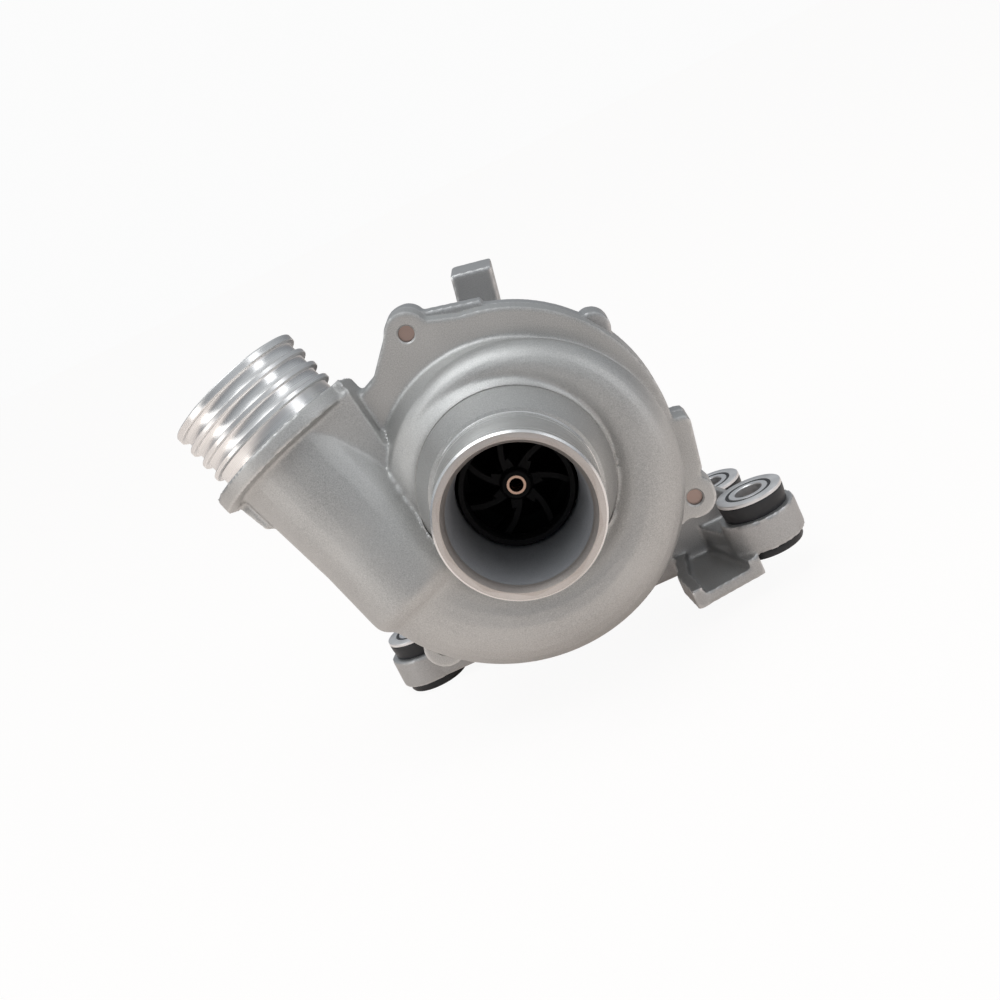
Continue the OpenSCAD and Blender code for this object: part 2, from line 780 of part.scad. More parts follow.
module power_transistors() {
    color("black") for (a = chip_angles) rotate([0, -a, 0])
        translate([chip_at_r, board_y - chip_size[1], -chip_size[2] / 2]) cube(chip_size);
}

module choke_coil() {
    color("peru") difference() {
        rod_y(choke_at, board_y + board_t, choke_h, choke_r);
        rod_y(choke_at, board_y + board_t - past, choke_h + 2 * past, choke_hole_r);
    }
}

module rear_outline() {
    circle(r = rear_flange_r);
    for (a = ear_angles) translate(polar(ear_at_r, a)) circle(r = ear_r);
}

module rear_cover_gasket() {
    color("black") along_y(barrel_end_y, gasket_t) difference() {
        rear_outline();
        circle(r = chamber_rear_r);
        for (a = ear_angles) translate(polar(ear_at_r, a)) circle(r = m4_r + 0.3);
    }
}

// Moves the children to the connector: +Z points away from the shaft, Y stays along it.
module at_connector() {
    translate([0, connector_y, 0]) rotate([0, 90 - connector_a, 0]) children();
}

module block(x, y, z0, z1) {
    translate([-x / 2, -y / 2, z0]) cube([x, y, z1 - z0]);
}

module rear_cover() {
    inner = chamber_rear_r;
    color("gray") difference() {
        union() {
            along_y(cover_y, 5) rear_outline();
            turned() polygon([[0, cover_y], [inner + cover_wall, cover_y],
                [inner + cover_wall - cover_taper, cover_end_y], [0, cover_end_y]]);
            intersection() {
                ring(0, inner + cover_wall - cover_taper - 1, cover_end_y - sink, fin_h + sink);
                for (x = [-4 : 4])
                    translate([x * fin_pitch - fin_t / 2, cover_end_y - sink, -rear_flange_r])
                        cube([fin_t, fin_h + sink, 2 * rear_flange_r]);
            }
            at_connector() block(connector_h + 8, connector_w + 1, inner - 8, pad_r);
        }
        turned() polygon([[0, cover_y - past], [inner, cover_y - past], [inner, cover_y],
            [inner - cover_taper, cover_end_y - cover_wall], [0, cover_end_y - cover_wall]]);
        for (a = ear_angles) rod_y(polar(ear_at_r, a), cover_y - past, 20, m4_r + 0.3);
        at_connector() block(connector_h + 0.4, connector_w + 0.4 - 6, inner - 12, pad_r + past);
        rod_y([0, -inner + 10], cover_end_y - cover_wall - past, cover_wall + fin_h + 2 * past, vent_r);
    }
}

module rear_cover_screws() {
    color("silver") for (a = ear_angles)
        screw(polar(ear_at_r, a), m4_r, barrel_end_y - 9, cover_y + 5, 3.6, 3);
}

module connector_seal() {
    color("orange") at_connector() difference() {
        block(connector_h + 5, connector_w, pad_r, pad_r + 0.8);
        block(connector_h + 1, connector_w - 4, pad_r - past, pad_r + 2);
    }
}

module connector_housing() {
    base = pad_r + 0.8;
    color("black") at_connector() difference() {
        union() {
            block(connector_h + 7, connector_w + 2, base, base + 2.5);
            block(connector_h, connector_w - 6, pad_r - 6, base + past);
            block(connector_h, connector_w, base, connector_reach);
            // latch ramp for the plug
            translate([connector_h / 2 - sink, -3, connector_reach - 8]) cube([2, 6, 5]);
        }
        block(connector_h - 2 * connector_wall, connector_w - 2 * connector_wall,
            base + 5, connector_reach + past);
        for (y = pin_rows) translate([0, y, 0]) block(pin_t, pin_w, 0, connector_reach);
    }
}

module connector_pins() {
    color("gold") at_connector() for (y = pin_rows)
        translate([0, y, 0]) block(pin_t, pin_w, pad_r - 10, connector_reach - 6);
}

module vent_plug() {
    at = [0, -chamber_rear_r + 10];
    y0 = cover_end_y - cover_wall;
    color("black") {
        rod_y(at, y0, cover_wall, vent_r - fit_gap);
        rod_y(at, cover_end_y, 2.5, vent_r - 0.4);
    }
}

volute_housing();
motor_housing();
flange_screws();
separating_can();
can_seal();
bearing_carrier();
front_bearing();
rear_bearing();
thrust_washer();
stator_core();
front_insulator();
rear_insulator();
stator_windings();
phase_pins();
impeller();
impeller_shroud();
rotor_shaft();
rotor_core();
rotor_magnets();
rotor_sleeve();
bush_rubber(bush_front);  // bush_rubber_front
bush_rubber(bush_right);  // bush_rubber_right
bush_rubber(bush_left);  // bush_rubber_left
bush_sleeve(bush_front);  // bush_sleeve_front
bush_sleeve(bush_right);  // bush_sleeve_right
bush_sleeve(bush_left);  // bush_sleeve_left
bush_washer(bush_front);  // bush_washer_front
bush_washer(bush_right);  // bush_washer_right
bush_washer(bush_left);  // bush_washer_left
circuit_board();
board_screws();
capacitors();
power_transistors();
choke_coil();
rear_cover_gasket();
rear_cover();
rear_cover_screws();
connector_housing();
connector_pins();
connector_seal();
vent_plug();
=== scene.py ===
import json
import math

import bpy
import numpy as np
from mathutils import Matrix, Vector

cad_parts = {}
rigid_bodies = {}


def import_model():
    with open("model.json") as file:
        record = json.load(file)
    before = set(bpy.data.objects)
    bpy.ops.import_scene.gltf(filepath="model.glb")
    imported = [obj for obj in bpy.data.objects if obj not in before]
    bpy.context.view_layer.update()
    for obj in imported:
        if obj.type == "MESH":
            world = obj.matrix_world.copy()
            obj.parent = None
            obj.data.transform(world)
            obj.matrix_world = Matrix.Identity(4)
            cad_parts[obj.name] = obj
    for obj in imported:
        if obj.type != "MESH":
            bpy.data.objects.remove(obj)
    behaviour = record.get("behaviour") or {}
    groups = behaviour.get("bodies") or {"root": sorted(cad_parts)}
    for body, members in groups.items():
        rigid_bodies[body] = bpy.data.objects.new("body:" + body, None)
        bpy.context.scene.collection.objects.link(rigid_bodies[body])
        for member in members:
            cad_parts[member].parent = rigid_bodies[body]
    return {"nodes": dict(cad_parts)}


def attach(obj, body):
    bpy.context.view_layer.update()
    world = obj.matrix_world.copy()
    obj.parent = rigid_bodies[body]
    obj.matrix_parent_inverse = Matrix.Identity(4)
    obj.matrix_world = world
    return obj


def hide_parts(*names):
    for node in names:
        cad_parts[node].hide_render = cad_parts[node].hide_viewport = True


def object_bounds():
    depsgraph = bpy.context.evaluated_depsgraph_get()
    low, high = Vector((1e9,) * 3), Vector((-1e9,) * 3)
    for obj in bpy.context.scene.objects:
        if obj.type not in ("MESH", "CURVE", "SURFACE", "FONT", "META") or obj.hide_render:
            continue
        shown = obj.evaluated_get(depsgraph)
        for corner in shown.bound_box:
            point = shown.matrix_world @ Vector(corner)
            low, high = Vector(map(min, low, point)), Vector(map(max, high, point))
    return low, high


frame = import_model()
cad_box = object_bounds()
mm = 0.001


# Studio: a pale table top, a soft sky of light that is cool above and warm below, three large
# soft lamps, and the camera in front of the pump's inlet, a little above it and rolled over.
table_size = 6.0
table_gap = 0.02 * mm
camera_share = 0.92
bpy.ops.object.select_all(action="DESELECT")
bpy.ops.mesh.primitive_plane_add(size=table_size, location=(0, 0, cad_box[0][2] - table_gap))
table = bpy.context.active_object
table.name = "table_top"
table_paint = bpy.data.materials.new("table_paint")
table_paint.use_nodes = True
table_tree = table_paint.node_tree
table_shader = table_tree.nodes["Principled BSDF"]
table_shader.inputs["Base Color"].default_value = (0.93, 0.84, 0.78, 1)
table_shader.inputs["Roughness"].default_value = 0.7
table_shader.inputs["Emission Color"].default_value = (1.0, 0.86, 0.78, 1)
table_shader.inputs["Emission Strength"].default_value = 0.12
seen_white = table_tree.nodes.new("ShaderNodeEmission")
seen_white.inputs["Color"].default_value = (1.0, 1.0, 1.0, 1)
seen_white.inputs["Strength"].default_value = 1.0
seen_by = table_tree.nodes.new("ShaderNodeLightPath")
seen_share = table_tree.nodes.new("ShaderNodeMath")
seen_share.operation = "MULTIPLY"
seen_share.inputs[1].default_value = camera_share
table_tree.links.new(seen_by.outputs["Is Camera Ray"], seen_share.inputs[0])
table_mix = table_tree.nodes.new("ShaderNodeMixShader")
table_tree.links.new(seen_share.outputs["Value"], table_mix.inputs["Fac"])
table_tree.links.new(table_shader.outputs["BSDF"], table_mix.inputs[1])
table_tree.links.new(seen_white.outputs["Emission"], table_mix.inputs[2])
table_out = table_tree.nodes["Material Output"]
table_tree.links.new(table_mix.outputs["Shader"], table_out.inputs["Surface"])
table.data.materials.append(table_paint)

world = bpy.data.worlds.new("studio_sky")
bpy.context.scene.world = world
world.use_nodes = True
sky = world.node_tree
sky_out = sky.nodes["World Output"]
backdrop = sky.nodes["Background"]
backdrop.inputs["Color"].default_value = (1, 1, 1, 1)
backdrop.inputs["Strength"].default_value = 0.97
glow = sky.nodes.new("ShaderNodeBackground")
direction = sky.nodes.new("ShaderNodeTexCoord")
split = sky.nodes.new("ShaderNodeSeparateXYZ")
sky.links.new(direction.outputs["Generated"], split.inputs["Vector"])
height = sky.nodes.new("ShaderNodeValToRGB")
height.color_ramp.elements[0].position = 0.0
height.color_ramp.elements[0].color = (0.62, 0.50, 0.43, 1)
height.color_ramp.elements[1].position = 1.0
height.color_ramp.elements[1].color = (0.95, 0.98, 1.0, 1)
between = (
    (0.40, (0.58, 0.52, 0.49, 1)),
    (0.55, (0.36, 0.38, 0.41, 1)),
    (0.72, (0.72, 0.76, 0.80, 1)),
)
for place, shade in between:
    step = height.color_ramp.elements.new(place)
    step.color = shade
remap = sky.nodes.new("ShaderNodeMapRange")
remap.inputs["From Min"].default_value = -1
remap.inputs["From Max"].default_value = 1
sky.links.new(split.outputs["Z"], remap.inputs["Value"])
sky.links.new(remap.outputs["Result"], height.inputs["Fac"])
sky.links.new(height.outputs["Color"], glow.inputs["Color"])
glow.inputs["Strength"].default_value = 0.62
ray = sky.nodes.new("ShaderNodeLightPath")
choose = sky.nodes.new("ShaderNodeMixShader")
sky.links.new(ray.outputs["Is Camera Ray"], choose.inputs["Fac"])
sky.links.new(glow.outputs["Background"], choose.inputs[1])
sky.links.new(backdrop.outputs["Background"], choose.inputs[2])
sky.links.new(choose.outputs["Shader"], sky_out.inputs["Surface"])

lamp_aim = Vector((0, 0.05, 0))
lamps = (
    ("lamp_above", (-0.15, -0.25, 0.95), (0.8, 0.8), 4.0, (0.95, 0.98, 1.0)),
    ("lamp_left", (-0.95, -0.45, 0.35), (0.5, 0.9), 1.9, (1.0, 0.99, 0.97)),
    ("lamp_right", (0.95, -0.35, 0.40), (0.4, 0.9), 1.5, (0.97, 0.98, 1.0)),
)
for name, place, size, power, tint in lamps:
    bpy.ops.object.light_add(type="AREA", location=place)
    lamp = bpy.context.active_object
    lamp.name = name
    lamp.data.shape = "RECTANGLE"
    lamp.data.size = size[0]
    lamp.data.size_y = size[1]
    lamp.data.energy = power
    lamp.data.color = tint
    aim = lamp_aim - Vector(place)
    lamp.rotation_euler = aim.to_track_quat("-Z", "Y").to_euler()

bpy.ops.object.camera_add(location=(40.35 * mm, -392.33 * mm, 110.11 * mm))
camera = bpy.context.active_object
roll = Matrix.Rotation(math.radians(25.4), 3, "Y")
turn = Matrix.Rotation(math.radians(-0.8), 3, "Z")
pitch = Matrix.Rotation(math.radians(74.1), 3, "X")
camera.rotation_euler = (roll @ turn @ pitch).to_euler()
camera.data.sensor_width = 36
camera.data.lens = 54
bpy.context.scene.view_settings.view_transform = "Standard"
bpy.context.scene.camera = camera


# Pump head: one aluminium die casting, a spiral that grows round the impeller and runs out
# into the side outlet. Both hose necks and the screw holes are machined after casting.
spiral_y = 44.0
spiral_start = 130.0
spiral_sweep = 290.5
small_s, large_s = 6.0, 17.5
small_r, large_r = 38.0, 61.5
cast_wall = 3.5
mate_y = 59.0
outlet_turn = math.radians(109.5)
outlet_lean = math.radians(12)
outlet_axis = Vector((math.cos(outlet_turn) * math.cos(outlet_lean), math.sin(outlet_lean),
                      math.sin(outlet_turn) * math.cos(outlet_lean)))
foot_r = 44
foot_turn = math.radians(199.5)
outlet_foot = Vector((foot_r * math.cos(foot_turn), spiral_y, foot_r * math.sin(foot_turn)))
outlet_len = 80.0
outlet_mid_r = 19.4
outlet_bend_len = 12
collar_face = 57.0
flange_holes = ((-11.3, 51.9), (46.2, -31.6), (-44.5, -42.5))
weld_gap = 0.002 * mm


def pick(piece):
    bpy.ops.object.select_all(action="DESELECT")
    piece.select_set(True)
    bpy.context.view_layer.objects.active = piece


def bench_copy(node, name):
    """A merged copy of a frame node, to be worked on."""
    pick(frame["nodes"][node])
    bpy.ops.object.duplicate()
    piece = bpy.context.active_object
    bpy.ops.object.parent_clear(type="CLEAR_KEEP_TRANSFORM")
    bpy.ops.object.transform_apply(location=True, rotation=True, scale=True)
    piece.name = name
    piece.data.materials.clear()
    bpy.ops.object.mode_set(mode="EDIT")
    bpy.ops.mesh.select_all(action="SELECT")
    bpy.ops.mesh.remove_doubles(threshold=weld_gap)
    bpy.ops.object.mode_set(mode="OBJECT")
    return piece


def apply_step(piece, kind, **settings):
    pick(piece)
    bpy.ops.object.modifier_add(type=kind)
    step = piece.modifiers[-1]
    for key, value in settings.items():
        setattr(step, key, value)
    bpy.ops.object.modifier_apply(modifier=step.name)


def turned(name, profile, origin=(0, 0, 0), axis=(0, 0, 1), sides=96, ring=False):
    """A piece turned on a lathe: profile is (radius, distance along the axis) in millimetres."""
    bpy.ops.object.select_all(action="DESELECT")
    radius, along = profile[0]
    bpy.ops.mesh.primitive_circle_add(vertices=sides, radius=radius * mm, location=(0, 0, 0),
                                      fill_type="NOTHING" if ring else "NGON")
    piece = bpy.context.active_object
    bpy.ops.object.mode_set(mode="EDIT")
    bpy.ops.transform.translate(value=(0, 0, along * mm))
    for next_radius, next_along in profile[1:]:
        bpy.ops.mesh.extrude_region_move(
            TRANSFORM_OT_translate={"value": (0, 0, (next_along - along) * mm)})
        grow = next_radius / radius
        bpy.ops.transform.resize(value=(grow, grow, 1), center_override=(0, 0, next_along * mm))
        radius, along = next_radius, next_along
    bpy.ops.mesh.select_all(action="SELECT")
    bpy.ops.mesh.remove_doubles(threshold=weld_gap)
    bpy.ops.mesh.normals_make_consistent(inside=False)
    bpy.ops.object.mode_set(mode="OBJECT")
    piece.rotation_euler = Vector(axis).to_track_quat("Z", "Y").to_euler()
    piece.location = Vector(origin) * mm
    pick(piece)
    bpy.ops.object.transform_apply(location=True, rotation=True, scale=True)
    piece.name = name
    return piece


def boolean(piece, tool, operation):
    """Joins or cuts with a closed tool, which is used up."""
    apply_step(piece, "BOOLEAN", object=tool, operation=operation, solver="MANIFOLD")
    bpy.data.objects.remove(tool)


def join_all(pieces):
    bpy.ops.object.select_all(action="DESELECT")
    for piece in pieces:
        piece.select_set(True)
    bpy.context.view_layer.objects.active = pieces[0]
    bpy.ops.object.join()
    return pieces[0]


def cast_skin(piece, grid, passes):
    """One closed skin with the soft edges of a die casting."""
    apply_step(piece, "REMESH", mode="VOXEL", voxel_size=grid * mm, adaptivity=0)
    apply_step(piece, "SMOOTH", factor=0.5, iterations=passes)


def ease(piece, origin, axis, half, least, most, passes):
    """Melts the step in a band across an axis, from least to most away from it, into the rest."""
    count = len(piece.data.vertices)
    place = np.empty(count * 3)
    piece.data.vertices.foreach_get("co", place)
    from_origin = place.reshape(-1, 3) / mm - np.array(origin)
    along = from_origin @ np.array(axis)
    off = np.linalg.norm(from_origin - np.outer(along, np.array(axis)), axis=1)
    weight = np.clip(1.6 * (1 - np.abs(along) / half), 0, 1) * np.clip((off - least) / 2, 0, 1)
    weight *= off < most
    band = piece.vertex_groups.new(name="band")
    for index in np.nonzero(weight > 0.02)[0]:
        band.add([int(index)], float(weight[index]), "REPLACE")
    apply_step(piece, "SMOOTH", factor=0.5, iterations=passes, vertex_group="band")


def mark_painted_edge_highlight(piece, reach):
    """Stores how far each point stands out from the rest, as the mask for a painted highlight on edges: 0
    is flat or hollow, 1 is an edge.
    """
    least_edge = 0.45 * mm
    calming_passes = 4
    mesh = piece.data
    count = len(mesh.vertices)
    place = np.empty(count * 3)
    mesh.vertices.foreach_get("co", place)
    place = place.reshape(-1, 3)
    normal = np.empty(count * 3)
    mesh.vertex_normals.foreach_get("vector", normal)
    normal = normal.reshape(-1, 3)
    ends = np.empty(len(mesh.edges) * 2, dtype=np.int64)
    mesh.edges.foreach_get("vertices", ends)
    first, second = ends.reshape(-1, 2).T
    step = place[second] - place[first]
    length = np.maximum(np.linalg.norm(step, axis=1), least_edge)
    curve = np.einsum("ij,ij->i", normal[second] - normal[first], step) / (length * length)
    total = np.bincount(first, curve, count) + np.bincount(second, curve, count)
    links = np.bincount(first, minlength=count) + np.bincount(second, minlength=count)
    links = np.maximum(links, 1)
    bend = total / links
    for _ in range(calming_passes):
        around = np.bincount(first, bend[second], count) + np.bincount(second, bend[first], count)
        bend = 0.5 * bend + 0.5 * around / links
    mark = mesh.attributes.new("painted_edge_highlight", "FLOAT", "POINT")
    mark.data.foreach_set("value", np.clip(bend * reach * mm, 0, 1).astype(np.float32))


def growth(t):
    """How far the spiral has grown from its small to its large size."""
    return 0.25 * t + 0.75 * (3 * t * t - 2 * t * t * t)


def spiral_point(t):
    """The middle and the outer radius of the spiral's round section, t of the way along it."""
    size = small_s + (large_s - small_s) * growth(t)
    reach = small_r + (large_r - small_r) * growth(t) - size
    angle = math.radians(spiral_start - spiral_sweep * t)
    return Vector((reach * math.cos(angle), spiral_y, reach * math.sin(angle))), size


def waterway(name, inset, end, end_radius):
    """The spiral and the outlet as one swept round section, set in from the outer skin."""
    route = [spiral_point(k / 90) for k in range(86)]
    bend_start, bend_size = route[-1]
    bend_end = outlet_foot + outlet_axis * outlet_bend_len
    for k in range(1, 9):
        t = k / 8
        place = bend_start * (1 - t) ** 2 + outlet_foot * 2 * t * (1 - t) + bend_end * t * t
        route.append((place, bend_size + (outlet_mid_r - bend_size) * t))
    for k in range(1, 15):
        t = k / 14
        place = bend_end + outlet_axis * (end - outlet_bend_len) * t
        route.append((place, outlet_mid_r + (end_radius + inset - outlet_mid_r) * t))
    path = bpy.data.curves.new(name, "CURVE")
    path.dimensions = "3D"
    path.bevel_depth = mm
    path.bevel_resolution = 10
    path.use_fill_caps = True
    line = path.splines.new("POLY")
    line.points.add(len(route) - 1)
    for point, (place, size) in zip(line.points, route):
        point.co = (*(place * mm), 1)
        point.radius = size - inset
    piece = bpy.data.objects.new(name, path)
    bpy.context.collection.objects.link(piece)
    pick(piece)
    bpy.ops.object.convert(target="MESH")
    piece = bpy.context.active_object
    bpy.ops.object.mode_set(mode="EDIT")
    bpy.ops.mesh.select_all(action="SELECT")
    bpy.ops.mesh.remove_doubles(threshold=weld_gap)
    bpy.ops.mesh.normals_make_consistent(inside=False)
    bpy.ops.object.mode_set(mode="OBJECT")
    return piece


def rod(name, radius, start, end, origin=(0, 0, 0), axis=(0, 1, 0), sides=64):
    """A round bar from start to end along an axis."""
    return turned(name, [(radius, start), (radius, end)], origin, axis, sides)


head = bench_copy("volute_housing", "pump_head")
fill = [
    waterway("head_spiral", 0, 53, 21.5),
    rod("fill_inlet", 22.5, 0, 50),
    rod("fill_chamber", 29.8, 36, mate_y),
    rod("fill_outlet", 19.6, -6, outlet_len, outlet_foot, outlet_axis),
]
for hole in flange_holes:
    fill.append(rod("fill_hole", 3, 50, mate_y, (hole[0], 0, hole[1])))
head = join_all([head] + fill)
cast_skin(head, 0.7, 2)
ease(head, outlet_foot - outlet_axis * 8, outlet_axis, half=7, least=13, most=26, passes=50)

boolean(head, turned("trim_inlet", [(34, -3), (34, 22.9), (26.2, 22.91), (30.05, 33.1), (30.05, 34.6)],
                     axis=(0, 1, 0), sides=128), "DIFFERENCE")
seat_r, seat_end = 24.5, 22.9
shoulder_r, shoulder_end = 29.7, 34.6
inlet_neck = turned("inlet_neck", [
    (23.4, 0), (23.9, 0.12), (seat_r, 0.8), (seat_r, 22.3), (24.75, 22.7), (25.7, 23), (29.0, 31.4),
    (29.55, 32.9), (shoulder_r, 33.4), (shoulder_r, 34.3), (28, shoulder_end), (28, 38)],
    axis=(0, 1, 0), sides=160)
boolean(head, inlet_neck, "UNION")
boolean(head, rod("trim_outlet", 40, collar_face, 92, outlet_foot, outlet_axis), "DIFFERENCE")

ridge_r, groove_r = 23.25, 21.55
ribs = [(groove_r, 53.5)]
for start, end in ((61.7, 63.2), (66.9, 68.4), (72.1, 73.6), (77.3, 79.5)):
    ribs += [(groove_r, start - 0.4), (groove_r + 0.12, start - 0.1), (groove_r + 0.4, start)]
    ribs += [(ridge_r - 0.2, start), (ridge_r, start + 0.2)]
    ribs += [(ridge_r, end - 0.2), (ridge_r - 0.2, end)]
    ribs += [(groove_r + 0.4, end), (groove_r + 0.12, end + 0.1), (groove_r, end + 0.4)]
ribs[-1] = (groove_r, outlet_len - 0.1)
ribs.append((groove_r - 0.2, outlet_len))
boolean(head, turned("outlet_neck", ribs, outlet_foot, outlet_axis, sides=160), "UNION")

boolean(head, waterway("cut_waterway", cast_wall, 82, 19.25), "DIFFERENCE")
boolean(head, turned("cut_mouth", [(19.2, 78.9), (20.3, 80.1), (20.3, 82)], outlet_foot, outlet_axis,
                     sides=128), "DIFFERENCE")
boolean(head, turned("cut_chamber", [
    (21.9, -1), (21.9, 0), (21.2, 1.2), (20.5, 3), (18.25, 24), (18.2, 34.6), (28.5, 42.4), (28.5, 53),
    (29.5, 53.01), (29.5, 60)], axis=(0, 1, 0), sides=128), "DIFFERENCE")
boolean(head, rod("cut_slot", 30.8, 40, 48), "DIFFERENCE")
for hole in flange_holes:
    boolean(head, turned("cut_hole", [(3.0, 49), (3.0, 50), (2.5, 50.45), (2.5, 60)],
                         (hole[0], 0, hole[1]), (0, 1, 0), sides=48), "DIFFERENCE")


def shader_group(name, inputs, outputs):
    """A node group with named sockets: inputs and outputs are (name, kind) pairs."""
    group = bpy.data.node_groups.new(name, "ShaderNodeTree")
    for socket, kind in inputs:
        group.interface.new_socket(socket, in_out="INPUT", socket_type=kind)
    for socket, kind in outputs:
        group.interface.new_socket(socket, in_out="OUTPUT", socket_type=kind)
    entry = group.nodes.new("NodeGroupInput")
    leave = group.nodes.new("NodeGroupOutput")
    return group, entry, leave


def wire(tree, kind, links=None, **settings):
    """A new node with its attributes set and its inputs linked or given plain values."""
    node = tree.nodes.new(kind)
    for key, value in settings.items():
        setattr(node, key, value)
    for socket, source in (links or {}).items():
        if isinstance(source, bpy.types.NodeSocket):
            tree.links.new(source, node.inputs[socket])
        else:
            node.inputs[socket].default_value = source
    return node


# Cast grain: the fine pebbled skin that a sand-blasted die casting has, with broad pale and dark
# clouds, and a mask of the edges where a painted highlight brightens the colour.
grain_group, grain_in, grain_out = shader_group(
    "cast_grain",
    [("Grain per metre", "NodeSocketFloat")],
    [("Grain", "NodeSocketFloat"), ("Clouds", "NodeSocketFloat"), ("Edges", "NodeSocketFloat")])
grain_place = wire(grain_group, "ShaderNodeTexCoord")
cloud_scale = 38.0
grain_noise = wire(grain_group, "ShaderNodeTexNoise",
                   {"Vector": grain_place.outputs["Object"], "Scale": grain_in.outputs[0],
                    "Detail": 3.0, "Roughness": 0.62})
cloud_noise = wire(grain_group, "ShaderNodeTexNoise",
                   {"Vector": grain_place.outputs["Object"], "Scale": cloud_scale, "Detail": 4.0})
# edge mask: where a painted highlight lightens the cast colour
edge_source = wire(grain_group, "ShaderNodeAttribute", attribute_name="painted_edge_highlight")
edge_band = wire(grain_group, "ShaderNodeMapRange",
                 {"Value": edge_source.outputs["Fac"], "From Min": 0.4, "From Max": 1.0})
edge_break = wire(grain_group, "ShaderNodeMath",
                  {0: edge_band.outputs["Result"], 1: cloud_noise.outputs["Fac"]}, operation="MULTIPLY")
edge_gain = wire(grain_group, "ShaderNodeMath", {0: edge_break.outputs[0], 1: 1.8},
                 operation="MULTIPLY", use_clamp=True)
grain_group.links.new(grain_noise.outputs["Fac"], grain_out.inputs["Grain"])
grain_group.links.new(cloud_noise.outputs["Fac"], grain_out.inputs["Clouds"])
grain_group.links.new(edge_gain.outputs[0], grain_out.inputs["Edges"])

# Turning lines: the fine rings that a lathe tool leaves, across the given axis.
turning_group, turning_in, turning_out = shader_group(
    "turning_lines", [("Axis", "NodeSocketVector"), ("Lines per metre", "NodeSocketFloat")],
    [("Lines", "NodeSocketFloat"), ("Bands", "NodeSocketFloat")])
turning_place = wire(turning_group, "ShaderNodeTexCoord")
turning_along = wire(turning_group, "ShaderNodeVectorMath",
                     {0: turning_place.outputs["Object"], 1: turning_in.outputs[0]},
                     operation="DOT_PRODUCT")
band_scale = 420.0
turning_noise = wire(turning_group, "ShaderNodeTexNoise",
                     {"W": turning_along.outputs["Value"], "Scale": turning_in.outputs[1], "Detail": 2.0},
                     noise_dimensions="1D")
turning_bands = wire(turning_group, "ShaderNodeTexNoise",
                     {"W": turning_along.outputs["Value"], "Scale": band_scale, "Detail": 1.0},
                     noise_dimensions="1D")
turning_group.links.new(turning_noise.outputs["Fac"], turning_out.inputs["Lines"])
turning_group.links.new(turning_bands.outputs["Fac"], turning_out.inputs["Bands"])


def finish(name):
    """A new material; gives the material, its node tree and its surface shader."""
    material = bpy.data.materials.new(name)
    material.use_nodes = True
    return material, material.node_tree, material.node_tree.nodes["Principled BSDF"]


def shades(tree, amount, dark, light):
    """A ramp from a dark to a light shade, driven by a 0 to 1 value."""
    ramp = wire(tree, "ShaderNodeValToRGB", {"Fac": amount})
    ramp.color_ramp.elements[0].color = (*dark, 1)
    ramp.color_ramp.elements[1].color = (*light, 1)
    return ramp


def spread(tree, amount, low, high):
    """The middle of a 0 to 1 noise, stretched to run from low to high."""
    return wire(tree, "ShaderNodeMapRange",
                {"Value": amount, "From Min": 0.3, "From Max": 0.7, "To Min": low, "To Max": high}
                ).outputs["Result"]


def cast_metal(name, dark, light, painted_edge_highlight, grain, depth, shine):
    """Cast aluminium: speckled and clouded colour, a painted highlight on the edges and a pebbled bump."""
    material, tree, surface = finish(name)
    skin = wire(tree, "ShaderNodeGroup", node_tree=grain_group)
    skin.inputs[0].default_value = grain
    speckle = shades(tree, spread(tree, skin.outputs["Grain"], 0, 1), dark, light)
    clouds = wire(tree, "ShaderNodeMix",
                  {0: spread(tree, skin.outputs["Clouds"], 0, 0.45), 6: speckle.outputs["Color"],
                   7: (*light, 1)}, data_type="RGBA")
    # painted highlight: the edges' colour is mixed towards a light shade
    edges = wire(tree, "ShaderNodeMix",
                 {0: skin.outputs["Edges"], 6: clouds.outputs[2], 7: (*painted_edge_highlight, 1)}, data_type="RGBA")
    tree.links.new(edges.outputs[2], surface.inputs["Base Color"])
    polish = wire(tree, "ShaderNodeMath", {0: skin.outputs["Edges"], 1: 0.16}, operation="MULTIPLY")
    rough = wire(tree, "ShaderNodeMath",
                 {0: spread(tree, skin.outputs["Grain"], shine - 0.05, shine + 0.07),
                  1: polish.outputs[0]}, operation="SUBTRACT")
    tree.links.new(rough.outputs[0], surface.inputs["Roughness"])
    pebbles = wire(tree, "ShaderNodeBump",
                   {"Height": skin.outputs["Grain"], "Strength": 0.55, "Distance": depth * mm})
    tree.links.new(pebbles.outputs["Normal"], surface.inputs["Normal"])
    surface.inputs["Metallic"].default_value = 0.82
    return material


def turned_metal(name, dark, light, axis, lines, shine, depth=0.01):
    """Metal off a lathe: fine rings across the axis, in colour, gloss and bump."""
    material, tree, surface = finish(name)
    cut = wire(tree, "ShaderNodeGroup", node_tree=turning_group)
    cut.inputs[0].default_value = axis
    cut.inputs[1].default_value = lines
    colour = shades(tree, spread(tree, cut.outputs["Lines"], 0, 1), dark, light)
    tree.links.new(colour.outputs["Color"], surface.inputs["Base Color"])
    rough = spread(tree, cut.outputs["Bands"], shine - 0.05, shine + 0.07)
    tree.links.new(rough, surface.inputs["Roughness"])
    rings = wire(tree, "ShaderNodeBump",
                 {"Height": cut.outputs["Lines"], "Strength": 0.16, "Distance": depth * mm})
    tree.links.new(rings.outputs["Normal"], surface.inputs["Normal"])
    surface.inputs["Metallic"].default_value = 1.0
    return material
